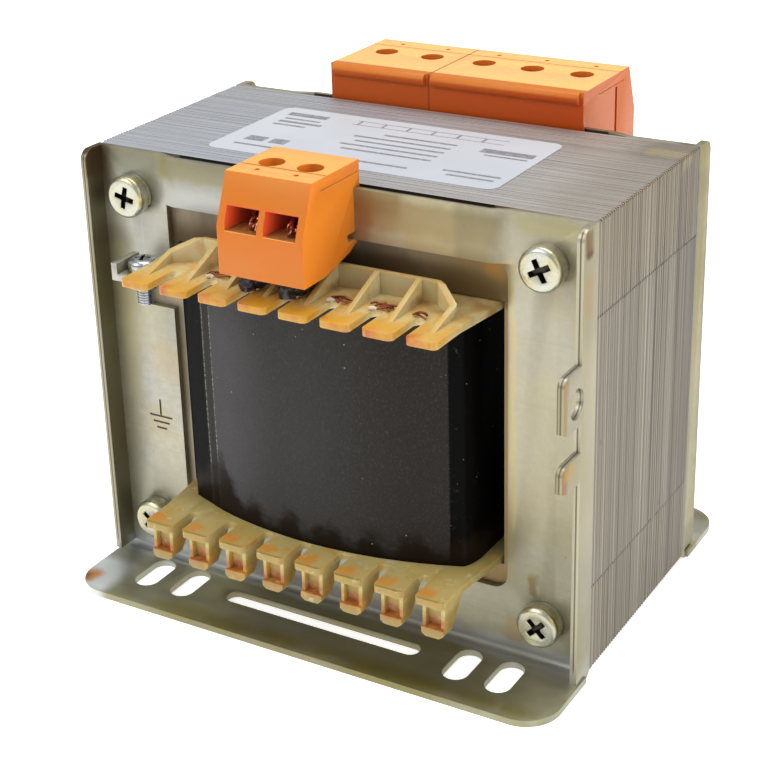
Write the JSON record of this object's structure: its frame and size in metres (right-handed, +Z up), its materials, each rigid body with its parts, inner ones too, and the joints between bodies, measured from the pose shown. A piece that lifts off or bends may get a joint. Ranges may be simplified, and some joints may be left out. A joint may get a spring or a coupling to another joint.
{
  "type": "laminated chassis transformer",
  "caption": "Open chassis transformer: stacked sheet core clamped between folded steel brackets with slotted feet, bulging black coil on a toothed bobbin, orange clip-on screw terminals.",
  "frame": {"origin": "bottom centre of the whole part's box, on the plane that the two feet stand on", "axes": "+Z up, +X along the core's 120 mm width, -Y towards the two-pole terminal block, +Y towards the five-pole row"},
  "size_m": [0.121, 0.1072, 0.1099],
  "materials": {
    "lamination_steel": "cut edges of varnished silicon steel sheet, satin, fine parallel lines",
    "yellow_zinc": "zinc with yellow passivation, satin, cloudy",
    "screw_zinc": "zinc with yellow passivation, semi-gloss",
    "bright_zinc": "bright zinc",
    "nylon": "ivory glass-filled nylon, slightly translucent, amber varnish on the teeth",
    "copper": "enamelled copper wire",
    "insulation": "insulating film",
    "black_wrap": "black varnished tape, satin sheen",
    "black_sleeve": "black sleeving",
    "orange_plastic": "orange moulded polyamide, satin",
    "clamp_metal": "nickel-plated steel",
    "label_white": null
  },
  "bodies": {
    "root": {"e_laminations": "lamination_steel", "i_laminations": "lamination_steel", "front_bracket": "yellow_zinc", "rear_bracket": "yellow_zinc", "clamp_screws": "screw_zinc", "lock_washers": "screw_zinc", "nut_washers": "screw_zinc", "clamp_nuts": "screw_zinc", "bobbin": "nylon", "primary_winding": "copper", "winding_insulation": "insulation", "secondary_winding": "copper", "outer_wrap": "black_wrap", "front_terminal_body": "orange_plastic", "front_terminal_clamps": "clamp_metal", "front_terminal_screws": "clamp_metal", "rear_terminal_body_2p": "orange_plastic", "rear_terminal_body_3p": "orange_plastic", "rear_terminal_clamps": "clamp_metal", "rear_terminal_screws": "clamp_metal", "primary_leads": "copper", "primary_sleeves": "black_sleeve", "secondary_leads": "copper", "earth_screw": "bright_zinc", "earth_washer": "bright_zinc", "earth_nut": "bright_zinc", "rating_label": "label_white"}
  },
  "joints": []
}
